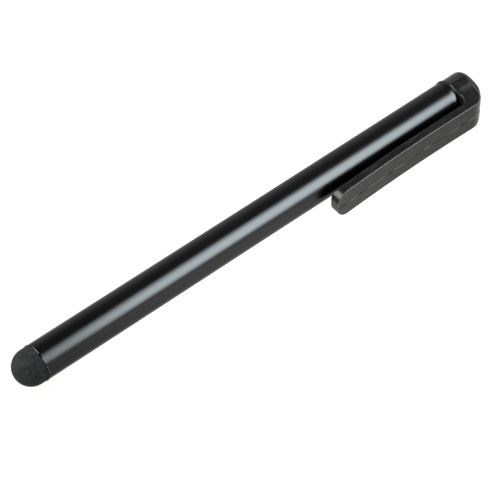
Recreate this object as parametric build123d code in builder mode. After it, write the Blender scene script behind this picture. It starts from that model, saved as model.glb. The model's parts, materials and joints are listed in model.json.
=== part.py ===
from build123d import *
from math import asin, atan2, degrees, hypot
import os

# A passive touch-screen stylus: an aluminium tube with a hollow rubber dome at its front end
# and a plastic cap, moulded in one with a spring clip, at its rear end.
# Millimetres. +X runs along the tube from the dome to the cap and +Z is up.
# The origin is on the tube's axis, half way along the tube.
# The pen lies on its tube and on the lower edge of its clip, which points to -Y.

# Tube
tube_od = 7.0
tube_wall = 0.45
tube_length = 95.6
tube_edge_chamfer = 0.15
lip_length = 0.8
lip_proud = 0.22
lip_edge = 0.25

# Rubber dome: its round end, its straight part, the bead at its base and the skirt in the tube
dome_inset = 0.04
dome_straight = 1.42
dome_wall = 0.9
bead_proud = 0.1
bead_length = 0.3
skirt_length = 5.0
skirt_wall = 0.7
skirt_clearance = 0.03

# Bush that holds the skirt against the bore
bush_setback = 0.6
bush_collar_length = 4.0
bush_collar_gap = 0.3
bush_edge = 0.3
vent_radius = 0.8
press_clearance = 0.01

# Rear cap: the part that shows, and its hollow plug with crush ribs
cap_length = 5.05
cap_edge = 1.3
plug_length = 9.0
plug_edge = 0.4
plug_bore_radius = 1.8
plug_bore_depth = 8.0
rib_count = 6
rib_width = 0.6
rib_height = 0.15

# Spring clip: gaps are from the tube to the clip's inner face
clip_width = 6.26
clip_thickness = 1.76
clip_length = 34.0
clip_gap_root = 1.33
clip_gap_waist = 1.24
clip_gap_free = 1.96
foot_height = 0.5
foot_length = 1.3
waist_share = 0.7
free_corner_share = 0.79
rear_corner_share = 0.95
heel_radius = 5.5
heel_proud = 0.25
slot_setback = 0.25
slot_fillet = 1.4
hinge_setback = 0.3
hinge_clearance = 0.05

# Places that follow from the sizes above
tube_radius = tube_od / 2
bore_radius = tube_radius - tube_wall
front_x = -tube_length / 2
rear_x = tube_length / 2
cap_end_x = rear_x + cap_length
heel_end_x = cap_end_x + heel_proud
lip_radius = tube_radius + lip_proud
lip_peak_x = rear_x - lip_edge
lip_start_x = lip_peak_x - lip_length
slot_x = rear_x + slot_setback
hinge_x = slot_x - slot_fillet - hinge_setback
free_x = slot_x - clip_length
waist_x = free_x + (slot_x - free_x) * waist_share
inner_root = tube_radius + clip_gap_root
inner_waist = tube_radius + clip_gap_waist
inner_free = tube_radius + clip_gap_free
outer_root = inner_root + clip_thickness
outer_waist = inner_waist + clip_thickness
outer_free = inner_free + clip_thickness
foot_free = inner_free - foot_height
hinge_radius = clip_thickness / 2
hinge_r = inner_root + hinge_radius
clip_half_width = clip_width / 2
free_corner = clip_half_width * free_corner_share
rear_corner = clip_half_width * rear_corner_share

# The clip droops about the tube's axis until its lower edge is level with the lip's underside
clip_corner_reach = hypot(outer_free, clip_half_width)
clip_droop = degrees(asin(lip_radius / clip_corner_reach) - atan2(clip_half_width, outer_free))
half_turn = 180
clip_side = Plane.XY.rotated((half_turn + clip_droop, 0, 0))
clip_plan = Plane(origin=(0, 0, 0), x_dir=(1, 0, 0), z_dir=clip_side.y_dir)
clip_out = Axis(origin=(0, 0, 0), direction=clip_side.y_dir)

os.makedirs("parts", exist_ok=True)

# Tube with a chamfered front edge and a rear end rolled out to a rounded lip
with BuildPart() as barrel_tube:
    with BuildSketch(Plane.XY):
        with BuildLine():
            lip_mid = ((lip_start_x + lip_peak_x) / 2, tube_radius + lip_proud / 2)
            lip_top = (lip_peak_x, lip_radius)
            Polyline(
                (rear_x, bore_radius),
                (front_x, bore_radius),
                (front_x, tube_radius - tube_edge_chamfer),
                (front_x + tube_edge_chamfer, tube_radius),
                (lip_start_x, tube_radius),
            )
            rise = TangentArc((lip_start_x, tube_radius), lip_mid, tangent=(1, 0))
            TangentArc(lip_mid, lip_top, tangent=rise % 1)
            TangentArc(lip_top, (rear_x, lip_radius - lip_edge), tangent=(1, 0))
            Line((rear_x, lip_radius - lip_edge), (rear_x, bore_radius))
        make_face()
    revolve(axis=Axis.X)
barrel_tube.part.label = "barrel_tube"
export_step(barrel_tube.part, "parts/barrel_tube.step")

# Hollow rubber dome, with its bead against the tube's front edge and its skirt in the bore
dome_radius = tube_radius - dome_inset
dome_x = front_x - dome_straight
cavity_radius = dome_radius - dome_wall
skirt_radius = bore_radius - skirt_clearance
skirt_bore = skirt_radius - skirt_wall
skirt_end_x = front_x + skirt_length
with BuildPart() as tip_dome:
    with BuildSketch(Plane.XY):
        with BuildLine():
            RadiusArc((dome_x - dome_radius, 0), (dome_x, dome_radius), dome_radius)
            Line((dome_x, dome_radius), (front_x - bead_length, dome_radius))
            ThreePointArc(
                (front_x - bead_length, dome_radius),
                (front_x - bead_length / 2, tube_radius + bead_proud),
                (front_x, dome_radius),
            )
            Polyline(
                (front_x, dome_radius),
                (front_x, skirt_radius),
                (skirt_end_x, skirt_radius),
                (skirt_end_x, skirt_bore),
                (front_x, skirt_bore),
                (dome_x, cavity_radius),
            )
            RadiusArc((dome_x, cavity_radius), (dome_x - cavity_radius, 0), -cavity_radius)
            Line((dome_x - cavity_radius, 0), (dome_x - dome_radius, 0))
        make_face()
    revolve(axis=Axis.X)
tip_dome.part.label = "tip_dome"
export_step(tip_dome.part, "parts/tip_dome.step")

# Bush: a spigot inside the skirt, a collar pressed into the bore, and a vent hole through both
spigot_radius = skirt_bore - skirt_clearance
collar_radius = bore_radius - press_clearance
collar_x = skirt_end_x + bush_collar_gap
spigot_length = collar_x - front_x - bush_setback
with BuildPart() as tip_bush:
    with BuildSketch(Plane.YZ.offset(front_x + bush_setback)):
        Circle(spigot_radius)
    extrude(amount=spigot_length)
    with BuildSketch(Plane.YZ.offset(collar_x)):
        Circle(collar_radius)
    extrude(amount=bush_collar_length)
    bush_ends = tip_bush.faces().filter_by(Axis.X).sort_by(Axis.X)
    chamfer(bush_ends[0].edges() + bush_ends[-1].edges(), length=bush_edge)
    with BuildSketch(Plane.YZ.offset(front_x + bush_setback)):
        Circle(vent_radius)
    extrude(amount=spigot_length + bush_collar_length, mode=Mode.SUBTRACT)
tip_bush.part.label = "tip_bush"
export_step(tip_bush.part, "parts/tip_bush.step")

# Rear cap: the clip's root with its hinge socket, the round cap, and a ribbed hollow plug in the tube
plug_radius = bore_radius - press_clearance
root_length = heel_end_x - hinge_x
heel_foot = outer_root - heel_radius
root_base = heel_foot - tube_radius
with BuildPart() as rear_cap:
    with BuildSketch(clip_side):
        with BuildLine():
            Line((slot_x, root_base), (slot_x, inner_root - slot_fillet))
            TangentArc(
                (slot_x, inner_root - slot_fillet),
                (slot_x - slot_fillet, inner_root),
                tangent=(0, 1),
            )
            Polyline(
                (slot_x - slot_fillet, inner_root),
                (hinge_x, inner_root),
                (hinge_x, outer_root),
                (heel_end_x - heel_radius, outer_root),
            )
            TangentArc(
                (heel_end_x - heel_radius, outer_root),
                (heel_end_x, heel_foot),
                tangent=(1, 0),
            )
            Polyline((heel_end_x, heel_foot), (heel_end_x, root_base), (slot_x, root_base))
        make_face()
        with Locations((hinge_x, hinge_r)):
            Circle(hinge_radius + hinge_clearance, mode=Mode.SUBTRACT)
    extrude(amount=clip_half_width, both=True)
    with BuildSketch(clip_plan) as root_plan:
        with Locations((hinge_x, 0)):
            Rectangle(root_length, clip_width, align=(Align.MIN, Align.CENTER))
        fillet(root_plan.vertices().sort_by(Axis.X)[-2:], radius=rear_corner)
    extrude(amount=outer_root, mode=Mode.INTERSECT)
    with BuildSketch(Plane.XY):
        with BuildLine():
            Polyline(
                (cap_end_x, 0),
                (rear_x, 0),
                (rear_x, tube_radius),
                (cap_end_x - cap_edge, tube_radius),
            )
            TangentArc(
                (cap_end_x - cap_edge, tube_radius),
                (cap_end_x, tube_radius - cap_edge),
                tangent=(1, 0),
            )
            Line((cap_end_x, tube_radius - cap_edge), (cap_end_x, 0))
        make_face()
    revolve(axis=Axis.X)
    with BuildSketch(Plane.YZ.offset(rear_x)):
        Circle(plug_radius - rib_height)
    extrude(amount=-plug_length)
    with BuildSketch(Plane.YZ.offset(rear_x)):
        with PolarLocations(plug_radius, rib_count):
            Rectangle(plug_radius, rib_width, align=(Align.MAX, Align.CENTER))
        Circle(plug_radius, mode=Mode.INTERSECT)
    extrude(amount=plug_edge - plug_length)
    with BuildSketch(Plane.YZ.offset(rear_x - plug_length)):
        Circle(plug_bore_radius)
    extrude(amount=plug_bore_depth, mode=Mode.SUBTRACT)
rear_cap.part.label = "rear_cap"
export_step(rear_cap.part, "parts/rear_cap.step")

# Spring clip: a bowed flat bar, round at its hinge end, with a foot and rounded corners at its free end
with BuildPart() as clip_arm:
    with BuildSketch(clip_side):
        with BuildLine():
            ThreePointArc((free_x, inner_free), (waist_x, inner_waist), (hinge_x, inner_root))
            ThreePointArc(
                (hinge_x, inner_root),
                (hinge_x + hinge_radius, hinge_r),
                (hinge_x, outer_root),
            )
            ThreePointArc((hinge_x, outer_root), (waist_x, outer_waist), (free_x, outer_free))
            Line((free_x, outer_free), (free_x, inner_free))
        make_face()
        with BuildLine():
            Line((free_x, inner_free), (free_x, foot_free))
            TangentArc((free_x, foot_free), (free_x + foot_length, inner_free), tangent=(1, 0))
            Line((free_x + foot_length, inner_free), (free_x, inner_free))
        make_face()
    extrude(amount=clip_half_width, both=True)
    free_face = clip_arm.faces().sort_by(Axis.X)[0]
    fillet(free_face.edges().filter_by(clip_out), radius=free_corner)
clip_arm.part.label = "clip_arm"
export_step(clip_arm.part, "parts/clip_arm.step")
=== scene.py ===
# %% [markdown]
# # A rubber-tipped stylus pen
#
# This pen has no ink and no electronics. A drawn aluminium tube carries a hollow rubber dome at its
# front end, and a plastic cap at its rear end that is moulded in one with a flat spring clip. The
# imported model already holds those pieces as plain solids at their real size, so the first cell only
# loads them. Everything made later is placed by what is measured on them. Small forms, such as
# roundings and gaps, the finishes and the lights are matched to the photograph.

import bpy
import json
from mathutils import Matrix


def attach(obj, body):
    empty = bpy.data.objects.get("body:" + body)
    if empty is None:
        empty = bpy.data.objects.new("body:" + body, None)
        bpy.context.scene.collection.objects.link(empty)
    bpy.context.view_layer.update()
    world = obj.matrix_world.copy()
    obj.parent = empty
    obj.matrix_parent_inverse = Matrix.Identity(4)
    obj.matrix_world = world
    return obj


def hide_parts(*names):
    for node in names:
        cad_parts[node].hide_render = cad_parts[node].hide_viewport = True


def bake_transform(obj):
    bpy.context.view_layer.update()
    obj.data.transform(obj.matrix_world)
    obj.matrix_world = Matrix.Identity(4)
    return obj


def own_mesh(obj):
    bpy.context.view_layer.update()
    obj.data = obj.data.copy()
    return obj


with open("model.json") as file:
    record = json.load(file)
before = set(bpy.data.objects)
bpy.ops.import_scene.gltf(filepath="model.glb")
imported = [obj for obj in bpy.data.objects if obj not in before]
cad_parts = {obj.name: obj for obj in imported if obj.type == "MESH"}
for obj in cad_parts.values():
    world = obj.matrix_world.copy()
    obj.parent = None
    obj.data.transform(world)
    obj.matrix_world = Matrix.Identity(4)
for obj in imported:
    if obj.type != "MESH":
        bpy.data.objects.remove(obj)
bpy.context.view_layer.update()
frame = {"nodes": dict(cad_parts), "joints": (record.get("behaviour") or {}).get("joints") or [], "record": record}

# %% [markdown]
# ## Measuring the frame
#
# A maker takes sizes from the part on the bench, and so does this script. The tube's ends, the
# clip's free end and the cap's end are read from the corners of the solids. The clip leans a little
# about the tube's axis, and its hinge says how far: the hinge's axis runs across the clip, so the
# direction out of the tube is square to that axis and to the tube.
# Lengths are kept in millimetres while a shape is worked out, and turn into metres in its mesh.

# %% Tools and measured sizes
import json
import math

import bmesh
import bpy
import numpy as np
from mathutils import Matrix, Vector

mm = 0.001
pen_axis = Vector((1, 0, 0))
up_axis = Vector((0, 0, 1))
joints = {joint["name"]: joint for joint in frame["joints"]}
mounts = {mount["name"]: mount for mount in frame["record"]["mounts"]}
clip_across = -Vector(joints["clip_flex"]["axis"]).normalized()
clip_outward = clip_across.cross(pen_axis)


def reach(node, direction):
    """How far a node reaches each way along a direction, in millimetres."""
    distances = [corner.co.dot(direction) / mm for corner in frame["nodes"][node].data.vertices]
    return min(distances), max(distances)


front_x, rear_x = reach("barrel_tube", pen_axis)
lip_radius = reach("barrel_tube", up_axis)[1]
tube_radius = mounts["barrel_grip"]["dims"]["r_mm"]
dome_front_x, skirt_end_x = reach("tip_dome", pen_axis)
plug_start_x, heel_end_x = reach("rear_cap", pen_axis)
free_x = reach("clip_arm", pen_axis)[0]
clip_half_width = reach("clip_arm", clip_across)[1]
hinge = Vector(joints["clip_flex"]["pos_m"]) / mm
hinge_x = hinge.x
hinge_out = hinge.dot(clip_outward)
print(f"tube {front_x:.2f} to {rear_x:.2f} mm, radius {tube_radius:.2f}, lip radius {lip_radius:.2f}")
print(f"clip {free_x:.2f} to {heel_end_x:.2f} mm, half width {clip_half_width:.2f}")
print(f"the clip's hinge is {hinge_out:.2f} mm out from the tube's axis")

# %% [markdown]
# ## The camera
#
# The photograph was taken from above, with a long lens: the pen tapers only a little from its near
# end to its far end. The camera could be set by eye, but a fit of the pen's outline gives the angles
# and the distance, and then every edge lands where the photograph has it. The picture is square, so
# the focal length in picture widths turns straight into a lens for a 36 mm wide sensor.

# %% Camera at the photograph's angle
picture_width = 500
focal_pixels = 2100
sensor_width = 36.0
view_azimuth = math.radians(-34.17)
view_elevation = math.radians(46.8)
view_roll = math.radians(-6.63)
view_distance = 380.1
view_target = Vector((2.2, 0, 0))
view_aside = -2.26
view_above = -5.8
nearest_seen = 10
farthest_seen = 10000

towards_camera = Vector((
    math.sin(view_azimuth) * math.cos(view_elevation),
    -math.cos(view_azimuth) * math.cos(view_elevation),
    math.sin(view_elevation),
))
level_right = Vector((math.cos(view_azimuth), math.sin(view_azimuth), 0))
level_up = towards_camera.cross(level_right)
camera_right = level_right * math.cos(view_roll) + level_up * math.sin(view_roll)
camera_up = level_up * math.cos(view_roll) - level_right * math.sin(view_roll)
camera_place = view_target + towards_camera * view_distance + camera_right * view_aside
camera_place += camera_up * view_above

camera_data = bpy.data.cameras.new("photo_camera")
camera_data.sensor_width = sensor_width
camera_data.lens = focal_pixels / picture_width * sensor_width
camera_data.clip_start = nearest_seen * mm
camera_data.clip_end = farthest_seen * mm
camera = bpy.data.objects.new("photo_camera", camera_data)
bpy.context.scene.collection.objects.link(camera)
turn = Matrix((camera_right, camera_up, towards_camera)).transposed().to_4x4()
camera.matrix_world = Matrix.Translation(camera_place * mm) @ turn
bpy.context.scene.camera = camera
print(f"camera lens {camera_data.lens:.1f} mm, {camera_place.length:.0f} mm from the pen")

# %% [markdown]
# ## A small lathe
#
# The tube, the dome and the cap's plug are round all the way, so they are turned from an outline. On
# the real parts no edge is perfectly sharp, and a tiny rounding is what catches the light, so the
# outline is written as corners with a radius each. The Spin tool then turns it about the pen's axis.
# A Screw modifier would do the same, but Spin leaves a finished mesh that can be joined and exported.

# %% Outlines with rounded corners
CORNER_STEPS = 6


def rounded(corners):
    """Points along an outline of (x, radius, corner radius) corners, with an arc at each corner."""
    points = []
    spots = [Vector(corner[:2]) for corner in corners]
    for i, here in enumerate(spots):
        radius = corners[i][2]
        if radius == 0 or i in (0, len(spots) - 1):
            points.append(here)
            continue
        before = (spots[i - 1] - here).normalized()
        after = (spots[i + 1] - here).normalized()
        half = before.angle(after) / 2
        middle = here + (before + after).normalized() * (radius / math.sin(half))
        start = here + before * (radius / math.tan(half))
        end = here + after * (radius / math.tan(half))
        sweep = (start - middle).angle_signed(end - middle)
        for step in range(CORNER_STEPS + 1):
            spoke = start - middle
            spoke.rotate(Matrix.Rotation(-sweep * step / CORNER_STEPS, 2))
            points.append(middle + spoke)
    return points


print("an outline's corner has", CORNER_STEPS + 1, "points")

# %% Arcs and flares
FLARE_STEPS = 14


def arc(centre_x, radius, start, end, steps):
    """Points on a circle centred on the pen's axis; angles in degrees, from -X towards the outside."""
    turns = [math.radians(start + (end - start) * i / steps) for i in range(steps + 1)]
    return [Vector((centre_x - radius * math.cos(a), radius * math.sin(a))) for a in turns]


def flare(start_x, end_x, start_radius, end_radius):
    """Points on an S-shaped rise from one radius to another, level at both ends."""
    points = []
    for step in range(FLARE_STEPS + 1):
        share = step / FLARE_STEPS
        rise = (1 - math.cos(math.pi * share)) / 2
        points.append(Vector((start_x + (end_x - start_x) * share,
                              start_radius + (end_radius - start_radius) * rise)))
    return points


print("a flare has", FLARE_STEPS + 1, "points")

# %% The lathe
weld_distance = 0.001


def lathe(points, sides, closed):
    """A mesh turned about the pen's axis from an outline in millimetres."""
    work = bmesh.new()
    corners = [work.verts.new((p.x * mm, p.y * mm, 0)) for p in points]
    pairs = list(zip(corners, corners[1:]))
    if closed:
        pairs.append((corners[-1], corners[0]))
    edges = [work.edges.new(pair) for pair in pairs]
    bmesh.ops.spin(
        work, geom=corners + edges, cent=(0, 0, 0), axis=pen_axis, dvec=(0, 0, 0),
        angle=math.tau, steps=sides, use_merge=True, use_duplicate=False,
    )
    bmesh.ops.remove_doubles(work, verts=work.verts, dist=weld_distance * mm)
    bmesh.ops.recalc_face_normals(work, faces=work.faces)
    mesh = bpy.data.meshes.new("turned")
    work.to_mesh(mesh)
    work.free()
    return mesh


print("points closer than", weld_distance, "mm are welded")

# %% From a mesh to a piece
# The layer holds worn edges, and on the clip also painted highlight.
edge_layer = "rubbed_edge"


def mark_points(mesh, values):
    """Writes each point's edge value from 0 to 1, for a finish to read: worn edges, and on the clip also painted
    highlight.
    """
    layer = mesh.attributes.new(edge_layer, "FLOAT", "POINT")
    layer.data.foreach_set("value", values)


def new_object(name, mesh, finish):
    """A smooth-shaded object with its finish."""
    made = bpy.data.objects.new(name, mesh)
    bpy.context.scene.collection.objects.link(made)
    mesh.materials.append(finish)
    mesh.shade_smooth()
    return made


print("a mesh keeps its wear in a layer named", edge_layer)

# %% [markdown]
# ## Finishes made of noise
#
# Each real surface varies a little: a tube is cloudier here than there, rubber has a grain, plastic
# is scuffed. An image could carry that, but noise nodes need no file, have no seams and keep their
# scale at any distance. These helpers take sizes in millimetres, so that a finish reads like a note
# on a drawing: lumps of so many millimetres, relief so many thousandths deep.

# %% Noise and ranges
noise_span = (0.3, 0.7)


def new_finish(name):
    """An empty node material and its shader, with object coordinates in metres."""
    finish = bpy.data.materials.new(name)
    finish.use_nodes = True
    tree = finish.node_tree
    shader = tree.nodes["Principled BSDF"]
    place = tree.nodes.new("ShaderNodeTexCoord").outputs["Object"]
    return finish, tree, shader, place


def add_noise(tree, place, size_mm, detail, stretch=(1, 1, 1)):
    """Noise whose lumps are about size_mm across, drawn out along the axes by stretch."""
    scale = tree.nodes.new("ShaderNodeMapping")
    scale.inputs["Scale"].default_value = [1 / (size_mm * mm * s) for s in stretch]
    tree.links.new(place, scale.inputs["Vector"])
    noise = tree.nodes.new("ShaderNodeTexNoise")
    noise.inputs["Scale"].default_value = 1
    noise.inputs["Detail"].default_value = detail
    tree.links.new(scale.outputs["Vector"], noise.inputs["Vector"])
    return noise.outputs["Fac"]


def add_range(tree, value, old, new):
    """A value mapped from one range to another, clamped at its ends."""
    node = tree.nodes.new("ShaderNodeMapRange")
    tree.links.new(value, node.inputs["Value"])
    for socket, number in zip(("From Min", "From Max", "To Min", "To Max"), (*old, *new)):
        node.inputs[socket].default_value = number
    return node.outputs["Result"]


def add_length(tree, place):
    """How far along the pen's axis a place is."""
    node = tree.nodes.new("ShaderNodeSeparateXYZ")
    tree.links.new(place, node.inputs["Vector"])
    return node.outputs["X"]


print("most of a noise lies between", *noise_span)

# %% Sums, colours, relief and wear
def add_math(tree, operation, first, second=0):
    """Two values put together by a Math node; the second may be a plain number."""
    node = tree.nodes.new("ShaderNodeMath")
    node.operation = operation
    tree.links.new(first, node.inputs[0])
    if isinstance(second, (int, float)):
        node.inputs[1].default_value = second
    else:
        tree.links.new(second, node.inputs[1])
    return node.outputs[0]


def add_colours(tree, value, first, second):
    """A colour between two, chosen by a value from 0 to 1; the first may be another node's colour."""
    node = tree.nodes.new("ShaderNodeMix")
    node.data_type = "RGBA"
    tree.links.new(value, node.inputs["Factor"])
    if isinstance(first, tuple):
        node.inputs["A"].default_value = (*first, 1)
    else:
        tree.links.new(first, node.inputs["A"])
    node.inputs["B"].default_value = (*second, 1)
    return node.outputs["Result"]


def add_bump(tree, shader, height, depth_mm, strength):
    """Small relief on a shader from a height value."""
    node = tree.nodes.new("ShaderNodeBump")
    node.inputs["Distance"].default_value = depth_mm * mm
    node.inputs["Strength"].default_value = strength
    tree.links.new(height, node.inputs["Height"])
    tree.links.new(node.outputs["Normal"], shader.inputs["Normal"])


def add_edge_wear_and_highlight(tree, patches):
    """Worn edges, and on the clip painted highlight, from the mesh's own layer, broken up by a patchy value."""
    layer = tree.nodes.new("ShaderNodeAttribute")
    layer.attribute_name = edge_layer
    return add_math(tree, "MULTIPLY", layer.outputs["Fac"], patches)


print("wear is read from", edge_layer)

# %% [markdown]
# ## The tube's finish
#
# The tube is aluminium with a black anodised skin, polished enough to hold a long soft highlight.
# Dyed oxide over metal mirrors only a few percent of the light and shows no body colour of its own,
# so a very dark metal fits better than a black paint. The edge tint keeps the rim of the tube from
# turning into a full mirror, as the dye does on the real one. Behind the tip the colour is painted
# darker, as painted shade for the dimmer light the tube reflects there. The two cut ends have worn
# edges, where bare metal shows through in patches.

# %% Black anodised finish
# Painted shade: the length behind the tip over which the tube's colour is darker.
tip_shade_length = 20
dyed_dark = (0.0325, 0.0325, 0.0325)
dyed_pale = (0.036, 0.036, 0.036)
tip_shade_dark = (0.0245, 0.0245, 0.0248)
bare_metal = (0.22, 0.22, 0.22)
dyed_edge_tint = (0.65, 0.65, 0.65)
dyed_roughness = (0.2, 0.24)


def anodised_black():
    """Dyed oxide on aluminium: cloudy, painted darker behind the tip as painted shade, and bare in patches on cut
    edges.
    """
    finish, tree, shader, place = new_finish("black_anodised_aluminium")
    cloud = add_noise(tree, place, size_mm=9, detail=3, stretch=(4, 1, 1))
    grain = add_noise(tree, place, size_mm=0.22, detail=2)
    worn = add_noise(tree, place, size_mm=0.7, detail=3)
    wear_and_highlight = add_edge_wear_and_highlight(tree, add_range(tree, worn, old=(0.45, 0.6), new=(0.05, 0.6)))
    # Painted shade: the colour darkens over the first stretch behind the tip.
    tip_shade_span = (front_x * mm, (front_x + tip_shade_length) * mm)
    tip_shade = add_range(tree, add_length(tree, place), old=tip_shade_span, new=(1, 0))
    dyed = add_colours(tree, cloud, dyed_dark, dyed_pale)
    darker = add_colours(tree, tip_shade, dyed, tip_shade_dark)
    tree.links.new(add_colours(tree, wear_and_highlight, darker, bare_metal), shader.inputs["Base Color"])
    shader.inputs["Metallic"].default_value = 1
    shader.inputs["Specular Tint"].default_value = (*dyed_edge_tint, 1)
    tree.links.new(add_range(tree, cloud, noise_span, dyed_roughness), shader.inputs["Roughness"])
    add_bump(tree, shader, grain, depth_mm=0.004, strength=0.3)
    return finish


print("tube finish: black anodised aluminium, darker over the first", tip_shade_length, "mm")

# %% [markdown]
# ## The tube
#
# The real tube is drawn, cut to length and rolled out a little at its rear end, where the cap is
# pressed in. A cylinder with a bevel would show the cut but not the rolled lip, so the wall is turned
# from its own outline: the bore, a lightly broken front edge, and a lip that rises in an S-shaped
# flare, so that the long highlight runs on over it instead of breaking. On the pen in the photograph
# this end is not quite true: its rim slants a little, and the lip is rolled out less on the near side.
# So the turned end is bent that way afterwards, point by point.

# %% An uneven rear end
end_slant = 0.6
end_setback = 0.25
slant_reach = 2.0
slant_full_reach = 0.5
near_lip_share = 0.15
picture_up = towards_camera.cross(pen_axis).normalized()
picture_near = pen_axis.cross(picture_up)


def ramp(value, start, end):
    """0 before start, 1 after end, straight between."""
    return np.clip((value - start) / (end - start), 0, 1)


def uneven_end(mesh):
    """Slants the tube's rear end and lowers its lip on the near side."""
    for point in mesh.vertices:
        x = point.co.x / mm
        spoke = Vector((0, *point.co.yz)) / mm
        out = spoke.length
        if out > tube_radius:
            near = max(spoke.dot(picture_near) / out, 0)
            lip = (out - tube_radius) * (1 - (1 - near_lip_share) * near ** 2)
            spoke *= (tube_radius + lip) / out
        slant = end_slant * spoke.dot(picture_up) / tube_radius - end_setback
        x += slant * float(ramp(x, rear_x - slant_reach, rear_x - slant_full_reach))
        point.co = (pen_axis * x + spoke) * mm


print(f"the rear rim slants by {end_slant} mm each way and is set back by {end_setback} mm")

# %% Tube
tube_wall = 0.45
front_edge = 0.1
bore_edge = 0.08
lip_edge = 0.28
lip_flare = 0.85
bare_length = 0.2
TUBE_SIDES = 192

bore_radius = tube_radius - tube_wall
lip_peak_x = rear_x - lip_edge
lip_start_x = lip_peak_x - lip_flare
tube_outline = rounded([
    (front_x + bare_length, bore_radius, 0),
    (front_x, bore_radius, bore_edge),
    (front_x, tube_radius, front_edge),
    (front_x + bare_length, tube_radius, 0),
    (lip_start_x, tube_radius, 0),
])
tube_outline += flare(lip_start_x, lip_peak_x, tube_radius, lip_radius)[1:]
tube_outline += rounded([
    (lip_peak_x, lip_radius, 0),
    (rear_x, lip_radius, lip_edge),
    (rear_x, bore_radius, bore_edge),
    (rear_x - bare_length, bore_radius, 0),
])[1:]
tube_mesh = lathe(tube_outline, TUBE_SIDES, closed=True)
tube_half = (rear_x - front_x) / 2
tube_middle = (rear_x + front_x) / 2
from_middle = np.abs([point.co.x / mm - tube_middle for point in tube_mesh.vertices])
mark_points(tube_mesh, ramp(from_middle, tube_half - bare_length, tube_half))
uneven_end(tube_mesh)
tube = new_object("drawn_tube", tube_mesh, anodised_black())
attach(tube, "barrel")
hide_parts("barrel_tube")
print("tube:", len(tube.data.polygons), "faces")

# %% [markdown]
# ## The rubber's finish
#
# The dome is soft rubber filled with carbon, so that a touch screen feels it. It is matt and dark
# grey, with cloudy patches, a fine grain and a few pale specks of dust that rubber always picks up.
# A glossy black would be wrong here: the highlight on the real dome is only a faint glow.

# %% Matt rubber
rubber_dark = (0.0035, 0.0039, 0.0039)
rubber_pale = (0.014, 0.0145, 0.0143)
dust_grey = (0.09, 0.09, 0.09)
rubber_gloss = 0.08
rubber_roughness = (0.66, 0.8)


def tip_rubber():
    """Cloudy matt rubber with a fine grain and specks of dust."""
    finish, tree, shader, place = new_finish("matt_conductive_rubber")
    cloud = add_noise(tree, place, size_mm=0.9, detail=5)
    grain = add_noise(tree, place, size_mm=0.12, detail=3)
    specks = add_noise(tree, place, size_mm=0.3, detail=2)
    dust = add_range(tree, specks, old=(0.67, 0.75), new=(0, 0.6))
    rubber = add_colours(tree, add_range(tree, cloud, noise_span, (0, 1)), rubber_dark, rubber_pale)
    tree.links.new(add_colours(tree, dust, rubber, dust_grey), shader.inputs["Base Color"])
    shader.inputs["Specular IOR Level"].default_value = rubber_gloss
    tree.links.new(add_range(tree, cloud, noise_span, rubber_roughness), shader.inputs["Roughness"])
    add_bump(tree, shader, grain, depth_mm=0.02, strength=0.4)
    return finish


print("dome finish: matt rubber with dust")

# %% [markdown]
# ## The rubber dome
#
# The dome is a thin moulded shell: a round nose, a short straight part, a small bead that stops
# against the tube, and a skirt that sits inside the bore. A half sphere would look closed and solid,
# but this one is hollow and is squashed flat when it is pressed on a screen. So its whole wall is
# turned, inside and out. A narrow gap is left between the bead and the tube, and it shows as the
# fine black line there.

# %% Dome
dome_inset = 0.04
dome_wall = 0.9
skirt_clearance = 0.03
skirt_wall = 0.7
skirt_edge = 0.1
bead_rise = 0.08
bead_gap = 0.16
bead_flat = 0.08
bead_flare = 0.36
bead_edge = 0.05
NOSE_STEPS = 40
DOME_SIDES = 160

dome_radius = tube_radius - dome_inset
dome_x = dome_front_x + dome_radius
cavity_radius = dome_radius - dome_wall
skirt_radius = bore_radius - skirt_clearance
skirt_bore = skirt_radius - skirt_wall
bead_radius = tube_radius + bead_rise
bead_back_x = front_x - bead_gap
bead_x = bead_back_x - bead_flat
bead_foot_x = bead_x - bead_flare
dome_outline = arc(dome_x, dome_radius, 0, 90, NOSE_STEPS)
dome_outline += flare(bead_foot_x, bead_x, dome_radius, bead_radius)
dome_outline += rounded([
    (bead_x, bead_radius, 0),
    (bead_back_x, bead_radius, bead_edge),
    (bead_back_x, skirt_radius, 0),
    (skirt_end_x, skirt_radius, skirt_edge),
    (skirt_end_x, skirt_bore, skirt_edge),
    (front_x, skirt_bore, dome_wall / 2),
    (dome_x, cavity_radius, 0),
])[1:]
dome_outline += arc(dome_x, cavity_radius, 90, 0, NOSE_STEPS)[1:]
dome_mesh = lathe(dome_outline, DOME_SIDES, closed=False)
dome = new_object("rubber_dome", dome_mesh, tip_rubber())
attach(dome, "tip")
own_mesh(dome)
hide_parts("tip_dome")

# %% [markdown]
# ## The bush inside
#
# A small turned bush holds the dome's skirt against the bore. It hides in the tube, so the packed
# solid is good enough as it stands and only gets a finish: brass, with the fine rings that a turning
# tool leaves. Rings come from noise that is drawn out across the pen's axis and tight along it.

# %% Bush
brass_dark = (0.56, 0.4, 0.16)
brass_pale = (0.7, 0.52, 0.24)
brass_roughness = (0.22, 0.36)


def turned_brass():
    """Bare brass with rings from the turning tool."""
    finish, tree, shader, place = new_finish("turned_brass")
    rings = add_noise(tree, place, size_mm=0.15, detail=2, stretch=(1, 60, 60))
    shader.inputs["Metallic"].default_value = 1
    tree.links.new(add_colours(tree, rings, brass_dark, brass_pale), shader.inputs["Base Color"])
    tree.links.new(add_range(tree, rings, noise_span, brass_roughness), shader.inputs["Roughness"])
    add_bump(tree, shader, rings, depth_mm=0.01, strength=0.4)
    return finish


bush = frame["nodes"]["tip_bush"]
bush.data.materials.clear()
bush.data.materials.append(turned_brass())
print("bush: the packed solid,", len(bush.data.polygons), "faces, with its finish")

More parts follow.
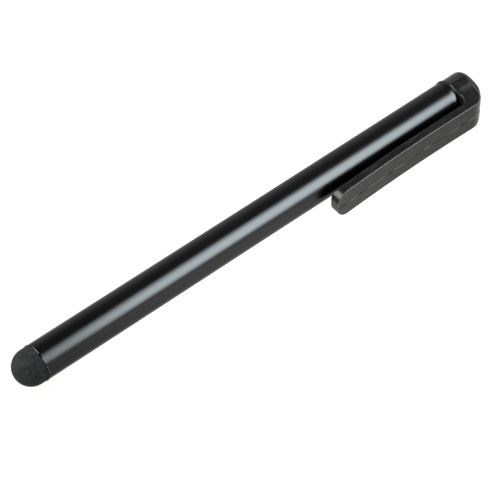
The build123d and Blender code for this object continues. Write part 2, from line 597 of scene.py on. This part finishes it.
# %% [markdown]
# ## The cap and clip as a distance field
#
# The cap, the heel and the long flat clip are one moulding, and on it every face flows into the next
# through a fillet. Boxes and cylinders joined by Booleans leave creases there, and a sculpt would not
# hold its sizes. A distance field does both: each face is a formula for how far a point is from it,
# two faces are put together with a rounded edge or a fillet of a chosen radius, and the skin is where
# the result is zero. In these formulas x runs along the pen, out goes from the tube's axis towards the
# clip, and across goes over the clip's width, from its upper side to its lower one.

# %% Ways to put two faces together
def round_cut(a, b, radius):
    """Inside both a and b, with their common edge rounded off."""
    corner = np.hypot(np.maximum(a + radius, 0), np.maximum(b + radius, 0))
    return np.minimum(-radius, np.maximum(a, b)) + corner


def round_join(a, b, radius):
    """Inside a or b, with a fillet where they meet."""
    corner = np.hypot(np.maximum(radius - a, 0), np.maximum(radius - b, 0))
    return np.maximum(radius, np.minimum(a, b)) - corner


def soft_join(a, b, width):
    """Inside a or b, with a shallow crease between them filled over a small width."""
    share = np.maximum(width - np.abs(a - b), 0) / width
    return np.minimum(a, b) - share ** 2 * width / 4


print(f"a sharp corner lies {round_cut(0, 0, 1):.2f} mm outside one that is rounded by 1 mm")

# %% [markdown]
# ## The clip's own shape
#
# Seen from the side the clip is a thin bar that bows towards the tube, so that it grips a pocket's
# edge at its waist, and its free end has a small foot that turns in. The bow could be a curve object,
# but as a formula it can go straight into the field. A smooth curve through three places gives it, and
# behind the hinge it settles to a straight line.

# %% Bow
slot_setback = 0.25
clip_thickness = 1.7
gap_free = 2.11
gap_waist = 1.39
root_stands_out = 0.1
waist_share = 0.7
bow_settles_in = 1.2

slot_x = rear_x + slot_setback
waist_x = free_x + (slot_x - free_x) * waist_share
middle_free = tube_radius + gap_free + clip_thickness / 2
middle_waist = tube_radius + gap_waist + clip_thickness / 2
middle_root = hinge_out + root_stands_out


def bar_middle(x):
    """How far the middle of the clip's thickness is from the tube's axis."""
    first = (middle_waist - middle_free) / (waist_x - free_x)
    second = ((middle_root - middle_waist) / (hinge_x - waist_x) - first) / (hinge_x - free_x)
    bow = middle_free + (x - free_x) * (first + second * (x - waist_x))
    slope = first + second * (2 * hinge_x - waist_x - free_x)
    past = np.maximum(x - hinge_x, 0)
    straight = middle_root + slope * bow_settles_in * (1 - np.exp(-past / bow_settles_in))
    return np.where(x < hinge_x, bow, straight)


print(f"clip {slot_x - free_x:.2f} mm long, {2 * clip_half_width:.2f} wide, {clip_thickness:.2f} thick")

# %% Foot
foot_height = 0.5
foot_length = 1.3


def foot_depth(x):
    """How much nearer to the tube the clip's inner face is at its free end."""
    foot_radius = (foot_length ** 2 + foot_height ** 2) / (2 * foot_height)
    along = np.clip(x - free_x, 0, foot_length)
    return foot_height - foot_radius + np.sqrt(foot_radius ** 2 - along ** 2)


print(f"at its free end the clip turns in by {foot_depth(np.array(free_x)):.2f} mm")

# %% [markdown]
# ## Marks of the mould
#
# A moulding shows how it was made. A faint broken line runs along the clip, where the two halves of
# the mould met, and on the heel is a small dent where the plastic came in and was cut off. Both could
# be painted on, but real relief catches the light from every side, so they are small additions to the
# formulas: the line is a ridge here and a groove there, and the dent fades out at its ends.

# %% Parting line and gate
heel_radius = 3.6
heel_setback = 1.35
parting_height = 0.09
parting_width = 0.14
parting_period = 6.3
parting_drift = 9.1
gate_depth = 0.35
gate_width = 0.3
gate_angles = (24, 58)
gate_fade = 5

heel_rear_x = heel_end_x - heel_setback


def parting_line(x, across):
    """The faint ridge and groove that the mould left along the clip's outer face."""
    dashes = np.sin(math.tau * x / parting_period + np.sin(math.tau * x / parting_drift))
    return parting_height * dashes * np.exp(-(across / parting_width) ** 2)


def gate_mark(x, out, across):
    """The dent on the heel where the plastic came into the mould."""
    heel_x = heel_rear_x - heel_radius
    heel_out = middle_root + clip_thickness / 2 - heel_radius
    turned = np.degrees(np.arctan2(x - heel_x, out - heel_out))
    low, high = gate_angles
    window = ramp(turned, low, low + gate_fade) * ramp(-turned, -high, gate_fade - high)
    return gate_depth * window * np.exp(-(across / gate_width) ** 2)


print(f"parting line {parting_height} mm high, gate mark {gate_depth} mm deep")

# %% [markdown]
# ## Clip, heel and cap together
#
# Seen from outside, the clip is a strip with round corners, and its heel is rounder at the lower rear
# corner than at the upper one. The long edges are nearly sharp and get rounder at the heel. The cap is
# a short cylinder with a rounded end, which leans out a little towards the heel. Where cap and clip
# flow together a plain fillet would be too regular, so a soft join fills the crease between them.

# %% Clip and heel
slot_fillet = 2.0
free_corner_share = 0.79
lower_rear_share = 0.95
upper_rear_share = 0.25
edge_radius = 0.2
heel_edge_radius = 0.6
heel_edge_start = 1.45

free_corner = free_corner_share * clip_half_width
lower_rear_corner = lower_rear_share * clip_half_width
upper_rear_corner = upper_rear_share * clip_half_width
heel_edge_x = slot_x + heel_edge_start


def bar_faces(x, out, across):
    """The clip and heel seen from the side, and the same seen from outside, as two distances."""
    middle = bar_middle(x)
    top = out - middle - clip_thickness / 2 + parting_line(x, across)
    under = middle - clip_thickness / 2 - foot_depth(x) - out
    rear = x - heel_rear_x
    side = np.abs(across) - clip_half_width
    outside = round_cut(top, rear, heel_radius) + gate_mark(x, out, across)
    inside = np.maximum(round_join(under, slot_x - x, slot_fillet), -out)
    rear_corner = np.where(across < 0, upper_rear_corner, lower_rear_corner)
    plan = np.maximum(round_cut(side, free_x - x, free_corner), round_cut(side, rear, rear_corner))
    return np.maximum(outside, inside), plan


def edge_rounding(x):
    """The radius of the clip's edges, which are rounder at the heel."""
    return edge_radius + (heel_edge_radius - edge_radius) * ramp(x, heel_edge_x, heel_rear_x)


print(f"the clip's edges are rounded by {edge_rounding(free_x):.1f} mm")
print(f"the heel's edges are rounded by up to {edge_rounding(heel_rear_x):.1f} mm")

# %% The whole moulding
heel_proud = 0.25
cap_edge = 1.3
cap_lean = 0.33
cap_lean_from = 1.3
cap_lean_blend = 0.5
shoulder_edge = 0.12
crease_width = 1.2

cap_end_x = heel_end_x - heel_proud
shoulder_x = rear_x + end_slant - end_setback


def cap_and_clip(x, out, across):
    """Distance in millimetres from the skin of the cap and clip, negative inside."""
    lengthwise, plan = bar_faces(x, out, across)
    bar = round_cut(lengthwise, plan, edge_rounding(x))
    past = out - cap_lean_from
    cap_end = x - cap_end_x - cap_lean * (past + np.hypot(past, cap_lean_blend)) / 2
    cap = round_cut(np.hypot(out, across) - tube_radius, cap_end, cap_edge)
    cap = round_cut(cap, shoulder_x - x, shoulder_edge)
    return soft_join(bar, cap, crease_width)


print(f"the cap shows for {cap_end_x - shoulder_x:.2f} mm behind the tube")

# %% Rubbed edges and painted highlights
# Painted highlight: the edge at the slot's end is painted paler than the rest of the inner edge.
slot_end_highlight_share = 0.35
slot_edge_reach = 0.5
# Painted highlight: a pale streak on the cap along the crease beside the clip.
crease_highlight_share = 0.3
crease_highlight_offset = 0.19
crease_highlight_width = 0.12
crease_highlight_fade = 1.2
skin_slack = 0.03


def edge_wear_and_highlight_share(x, out, across):
    """How pale a point is: 1 on worn outer edges and ridges, which also carry painted highlight; less at the
    slot's end and along the crease, which are painted highlight alone.
    """
    lengthwise, plan = bar_faces(x, out, across)
    radius = edge_rounding(x)
    crest = radius * (1 - math.sqrt(0.5))
    on_bar = ramp(-np.abs(round_cut(lengthwise, plan, radius)), -2 * skin_slack, -skin_slack)
    outer = out > np.where(x < slot_x + slot_edge_reach, bar_middle(x), tube_radius + slot_edge_reach)
    ridge = ramp(-parting_line(x, across), 0, parting_height) * outer
    slot_end = slot_end_highlight_share * ramp(-np.abs(x - slot_x), -2 * slot_edge_reach, -slot_edge_reach)
    edge = ramp(np.minimum(lengthwise, plan), -radius, -crest) * np.where(outer, 1, slot_end)
    aside = np.abs(across) - clip_half_width - crease_highlight_offset
    crease = crease_highlight_share * np.exp(-(aside / crease_highlight_width) ** 2) * (out > 0)
    crease *= ramp(x, slot_x, slot_x + crease_highlight_fade) * ramp(-x, -cap_end_x, crease_highlight_fade - cap_end_x)
    return np.maximum(on_bar * np.maximum(edge, ridge), crease)


print(f"the crease is rubbed {crease_highlight_share} times as much as an edge, the slot's end {slot_end_highlight_share} times")

# %% [markdown]
# ## From a field to a mesh
#
# Blender can't draw a formula, so its zero surface is meshed here. The field is worked out on a grid
# whose lines are close together at edges and further apart on long plain stretches. Each cell that
# the surface passes through gets one point, and the cells around a crossed grid edge share a
# four-sided face. Metaballs or a voxel remesh would work too, but they round off small edges. As a
# last step each point slides straight onto the surface, which makes faces flat and edges clean.

# %% Grid lines and crossed edges
CELLS_AROUND = ((0, 0), (1, 0), (1, 1), (0, 1))


def spaced(*stretches):
    """Grid lines from (start, end, step) stretches that follow on from each other."""
    lines = [np.linspace(a, b, max(2, round((b - a) / step) + 1))[:-1] for a, b, step in stretches]
    return np.concatenate(lines + [[stretches[-1][1]]])


def crossed_edges(values, lines, axis):
    """Where the skin crosses the grid edges along an axis, the cells around each, and its turn."""
    first = np.moveaxis(values, axis, 0)[:-1]
    second = np.moveaxis(values, axis, 0)[1:]
    spots = np.argwhere((first < 0) != (second < 0))
    a = first[tuple(spots.T)]
    b = second[tuple(spots.T)]
    others = [i for i in range(3) if i != axis]
    index = np.empty_like(spots)
    index[:, [axis] + others] = spots
    points = np.stack([line[index[:, i]] for i, line in enumerate(lines)], 1)
    spacing = lines[axis][index[:, axis] + 1] - lines[axis][index[:, axis]]
    points[:, axis] += a / (a - b) * spacing
    cells = np.repeat(index[:, None], len(CELLS_AROUND), axis=1)
    cells[:, :, others] -= np.array(CELLS_AROUND)
    return points, cells, (a < 0) == (axis != 1)


print("four lines over a stretch of 3 mm:", spaced((0, 3, 1)))

# %% Skin
SETTLE_ROUNDS = 4
settle_step = 0.01
least_slope = 0.5


def skin(field, lines):
    """Points and four-sided faces where a field is zero, on a grid with the given lines."""
    values = field(*np.meshgrid(*lines, indexing="ij", sparse=True))
    shape = np.array(values.shape) - 1
    total = np.zeros((*shape, 3))
    count = np.zeros(shape, int)
    crossings = [crossed_edges(values, lines, axis) for axis in range(3)]
    for points, cells, _ in crossings:
        for cell in np.moveaxis(cells, 1, 0):
            np.add.at(total, tuple(cell.T), points)
            np.add.at(count, tuple(cell.T), 1)
    used = np.argwhere(count > 0)
    number = np.full(shape, -1)
    number[tuple(used.T)] = np.arange(len(used))
    faces = []
    for _, cells, flip in crossings:
        quads = number[tuple(np.moveaxis(cells, 2, 0))]
        quads[flip] = quads[flip][:, ::-1]
        faces.append(quads)
    return total[tuple(used.T)] / count[tuple(used.T)][:, None], np.concatenate(faces)


def settle_on(field, points):
    """Moves points straight onto the field's zero surface."""
    for _ in range(SETTLE_ROUNDS):
        slope = np.stack([
            (field(*(points + offset).T) - field(*(points - offset).T)) / (2 * settle_step)
            for offset in np.eye(3) * settle_step
        ], 1)
        length = np.maximum((slope ** 2).sum(1), least_slope ** 2)
        points = points - slope * (field(*points.T) / length)[:, None]
    return points


print("points settle in", SETTLE_ROUNDS, "rounds")

# %% [markdown]
# ## The plastic's finish
#
# The moulding is black plastic with a satin skin, a little scuffed from pockets. Its sharp edges are
# painted paler than its faces, partly as wear and partly as painted highlight, and the slot's end and a
# streak along the crease are painted paler as painted highlight. A Bevel or Pointiness node could find
# the edges, but the field knows them exactly, so the mesh carries an edge value on its points and the
# finish reads it.

# %% Satin plastic
plastic_dark = (0.003, 0.003, 0.0027)
plastic_pale = (0.0055, 0.0055, 0.005)
edge_wear_and_highlight_grey = (0.075, 0.075, 0.074)
plastic_gloss = 0.17
plastic_roughness = (0.24, 0.3)


def clip_plastic():
    """Satin black plastic with scuffs along the pen, and paler edges that are partly worn and partly painted
    highlight.
    """
    finish, tree, shader, place = new_finish("satin_black_plastic")
    cloud = add_noise(tree, place, size_mm=3, detail=4, stretch=(3, 1, 1))
    grain = add_noise(tree, place, size_mm=0.12, detail=2)
    scrapes = add_noise(tree, place, size_mm=0.5, detail=3, stretch=(6, 1, 1))
    scuffs = add_range(tree, scrapes, old=(0.5, 0.75), new=(0, 0.12))
    worn = add_noise(tree, place, size_mm=0.8, detail=3, stretch=(5, 1, 1))
    # Painted highlight and wear: the edge layer makes the clip's edges, ridges, slot end and crease paler.
    wear_and_highlight = add_edge_wear_and_highlight(tree, add_range(tree, worn, old=(0.35, 0.6), new=(0.7, 1)))
    black = add_colours(tree, cloud, plastic_dark, plastic_pale)
    scuffed_and_highlit = add_colours(tree, add_math(tree, "MAXIMUM", wear_and_highlight, scuffs), black, edge_wear_and_highlight_grey)
    tree.links.new(scuffed_and_highlit, shader.inputs["Base Color"])
    shader.inputs["Specular IOR Level"].default_value = plastic_gloss
    tree.links.new(add_range(tree, cloud, noise_span, plastic_roughness), shader.inputs["Roughness"])
    add_bump(tree, shader, grain, depth_mm=0.008, strength=0.3)
    return finish


print("clip finish: satin plastic that reads", edge_layer)

# %% [markdown]
# ## The cap and clip as a piece
#
# The grid is finest across the parting line, at the two ends and at the edges. On the real pen the
# clip bends near its root when it is lifted, while the imported model turns it on one hinge.

# %% Grid for the moulding
margin = 0.4
end_step = 0.1
bar_step = 0.3
cap_out_step = 0.12
bar_out_step = 0.07
grid_top = 7.6
parting_band = 0.3
parting_step = 0.05
face_half_width = 2.5
face_step = 0.2
side_step = 0.08

free_end_x = free_x + free_corner + margin
root_x = slot_x - slot_fillet - 2 * margin
grid_x = spaced(
    (free_x - margin, free_end_x, end_step),
    (free_end_x, root_x, bar_step),
    (root_x, heel_end_x + margin, end_step),
)
grid_out = spaced(
    (-tube_radius - margin, tube_radius, cap_out_step),
    (tube_radius, grid_top, bar_out_step),
)
lower_half = (
    (parting_band, face_half_width, face_step),
    (face_half_width, tube_radius + margin, side_step),
)
upper_half = [(-end, -start, step) for start, end, step in reversed(lower_half)]
grid_across = spaced(*upper_half, (-parting_band, parting_band, parting_step), *lower_half)
print("grid lines:", len(grid_x), "along,", len(grid_out), "out and", len(grid_across), "across")

points, faces = skin(cap_and_clip, (grid_x, grid_out, grid_across))
points = settle_on(cap_and_clip, points)
clip_turn = np.array([pen_axis, clip_outward, clip_across])
clip_mesh = bpy.data.meshes.new("moulded")
clip_mesh.from_pydata((points @ clip_turn * mm).tolist(), [], faces.tolist())
clip_mesh.update()
mark_points(clip_mesh, edge_wear_and_highlight_share(*points.T))
clip = new_object("cap_with_clip", clip_mesh, clip_plastic())
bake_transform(clip)
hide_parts("rear_cap", "clip_arm")
print("cap and clip:", len(clip.data.polygons), "faces")

# %% [markdown]
# ## The cap's plug
#
# Inside the tube the cap goes on as a hollow plug with six thin ribs, which are crushed a little as
# it is pressed in and so hold it tight. It is turned on the lathe without ribs, and then each point
# of its skin that lies on a rib is pushed out to the rib's radius.

# %% Plug
press_clearance = 0.01
rib_count = 6
rib_width = 0.6
rib_height = 0.15
plug_edge = 0.4
plug_bore_radius = 1.8
plug_bore_depth = 8.0
PLUG_SIDES = 144

plug_radius = bore_radius - press_clearance
plug_core = plug_radius - rib_height
rib_start_x = plug_start_x + plug_edge
plug_end_x = shoulder_x + shoulder_edge
plug_outline = [Vector(corner) for corner in (
    (plug_start_x + plug_bore_depth, 0),
    (plug_start_x + plug_bore_depth, plug_bore_radius),
    (plug_start_x, plug_bore_radius),
    (plug_start_x, plug_core),
    (rib_start_x, plug_core),
    (rib_start_x + rib_height, plug_core),
    (rear_x, plug_core),
    (plug_end_x, plug_core),
    (plug_end_x, 0),
)]
plug_mesh = lathe(plug_outline, PLUG_SIDES, closed=False)
rib_spacing = math.tau / rib_count
rib_half_angle = rib_width / 2 / plug_core
for point in plug_mesh.vertices:
    out = math.hypot(point.co.y, point.co.z) / mm
    turned = math.atan2(point.co.z, point.co.y) % rib_spacing
    on_rib = min(turned, rib_spacing - turned) < rib_half_angle
    ribbed = rib_start_x + rib_height / 2 < point.co.x / mm < rear_x + weld_distance
    if on_rib and ribbed and out > plug_core - weld_distance:
        point.co.yz = point.co.yz * (plug_radius / out)
plug = new_object("cap_plug", plug_mesh, clip_plastic())
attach(plug, "barrel")
print("plug:", rib_count, "ribs,", len(plug.data.polygons), "faces")

# %% [markdown]
# ## The floor
#
# The photograph shows the pen on plain white, with no shadow, as on a lit table. A sheet of paper
# under lamps would keep a shadow, so this floor gives off most of its light by itself: it stays pale
# all over, and it also shines up into the lower side of the tube, as a lit table does. Like any lit
# table it is brightest in the middle, so the tube's lower side darkens towards the tip.

# %% Floor
floor_radius = 6000
floor_z = -lip_radius
floor_dark = (0.1, 0.1, 0.1)
floor_pale = (0.11, 0.11, 0.11)
floor_roughness = 0.9
table_tint = (1.0, 0.975, 0.95)
table_middle_x = 5
table_half = 55
table_glow = 1.33
table_edge_glow = 0.86
FLOOR_SIDES = 96


def lit_floor():
    """A pale matt floor that glows, most of all under the middle of the pen."""
    finish, tree, shader, place = new_finish("pale_floor")
    fibre = add_noise(tree, place, size_mm=6, detail=4)
    tree.links.new(add_colours(tree, fibre, floor_dark, floor_pale), shader.inputs["Base Color"])
    shader.inputs["Roughness"].default_value = floor_roughness
    shader.inputs["Specular IOR Level"].default_value = 0
    shader.inputs["Emission Color"].default_value = (*table_tint, 1)
    from_table_middle = add_math(tree, "SUBTRACT", add_length(tree, place), table_middle_x * mm)
    aside = add_math(tree, "ABSOLUTE", from_table_middle)
    glow = add_range(tree, aside, old=(0, table_half * mm), new=(table_glow, table_edge_glow))
    tree.links.new(glow, shader.inputs["Emission Strength"])
    return finish


work = bmesh.new()
bmesh.ops.create_circle(work, cap_ends=True, radius=floor_radius * mm, segments=FLOOR_SIDES,
                        matrix=Matrix.Translation((0, 0, floor_z * mm)))
floor_mesh = bpy.data.meshes.new("floor")
work.to_mesh(floor_mesh)
work.free()
floor = bpy.data.objects.new("studio_floor", floor_mesh)
bpy.context.scene.collection.objects.link(floor)
floor_mesh.materials.append(lit_floor())
print(f"floor {-floor_z:.2f} mm below the tube's axis")

# %% [markdown]
# ## The room and the lights
#
# A dark shiny tube shows little but what is around it, so the room matters more than the lamps'
# power. The walls are pale near the floor and fade to a dim ceiling, which gives the tube its soft
# upper edge and its black stripe. A long oval softbox stands over the pen's near side. It is three
# ovals one behind the other, so that its edge fades as a real diffuser's does, and the tube draws it
# out into the long highlight. A second softbox stands beyond the tip on the far side, out of the
# tube's mirror: it shows in the round corner of the clip, on the dome and in the small edges. A small
# one stands low ahead of the tip, for the tube's front edge.

# %% Room
wall_tone = 1.1
ceiling_tone = 0.2
wall_fades_from = 0.15
wall_fades_to = 0.95

world = bpy.data.worlds.new("dim_room")
world.use_nodes = True
room = world.node_tree
height = room.nodes.new("ShaderNodeSeparateXYZ")
room.links.new(room.nodes.new("ShaderNodeTexCoord").outputs["Generated"], height.inputs["Vector"])
fade = room.nodes.new("ShaderNodeValToRGB")
room.links.new(height.outputs["Z"], fade.inputs["Fac"])
fade.color_ramp.interpolation = "EASE"
stops = ((wall_fades_from, wall_tone), (wall_fades_to, ceiling_tone))
for stop, (rise, tone) in zip(fade.color_ramp.elements, stops):
    stop.position = rise
    stop.color = (tone, tone, tone, 1)
room.links.new(fade.outputs["Color"], room.nodes["Background"].inputs["Color"])
bpy.context.scene.world = world
bpy.context.scene.view_settings.view_transform = "Standard"
print("room: walls", wall_tone, "ceiling", ceiling_tone)

# %% Softboxes
def softbox(name, middle, facing, wide, half_wide, half_high, brightness, tint):
    """An oval light; brightness is what a camera would see in its face."""
    data = bpy.data.lights.new(name, "AREA")
    data.shape = "ELLIPSE"
    data.size = 2 * half_wide * mm
    data.size_y = 2 * half_high * mm
    data.energy = brightness * math.pi * (math.pi * half_wide * half_high) * mm * mm
    data.color = tint
    made = bpy.data.objects.new(name, data)
    bpy.context.scene.collection.objects.link(made)
    turned = Matrix((wide, facing.cross(wide), facing)).transposed().to_4x4()
    made.matrix_world = Matrix.Translation(middle * mm) @ turned


print("softboxes are oval lights, set by how bright they look")

# %% Lights
key_tint = (0.83, 0.94, 1.0)
box_tint = (1.0, 0.98, 0.96)
box_distance = 700

for name, lean, along, distance, half_angle, half_length, brightness in (
    ("key_core", 46, 315, 600, 19, 150, 5.6),
    ("key_middle", 45, 300, 620, 27, 185, 5.6),
    ("key_rim", 43, 290, 640, 33, 215, 4.2),
):
    away = Vector((0, -math.sin(math.radians(lean)), math.cos(math.radians(lean))))
    middle = pen_axis * along + away * distance
    half_high = distance * math.tan(math.radians(half_angle))
    softbox(name, middle, away, pen_axis, half_length, half_high, brightness, key_tint)

for name, azimuth, elevation, half_wide, half_high, brightness in (
    ("second_box", 145, 33, 255, 280, 17),
    ("front_box", 206, 21, 120, 120, 12),
):
    level = Vector((math.cos(math.radians(azimuth)), math.sin(math.radians(azimuth)), 0))
    rise = up_axis * math.sin(math.radians(elevation))
    away = level * math.cos(math.radians(elevation)) + rise
    wide = Vector((-level.y, level.x, 0))
    softbox(name, away * box_distance, away, wide, half_wide, half_high, brightness, box_tint)
print("lights: a key in three ovals, a second box on the far side and a small front box")
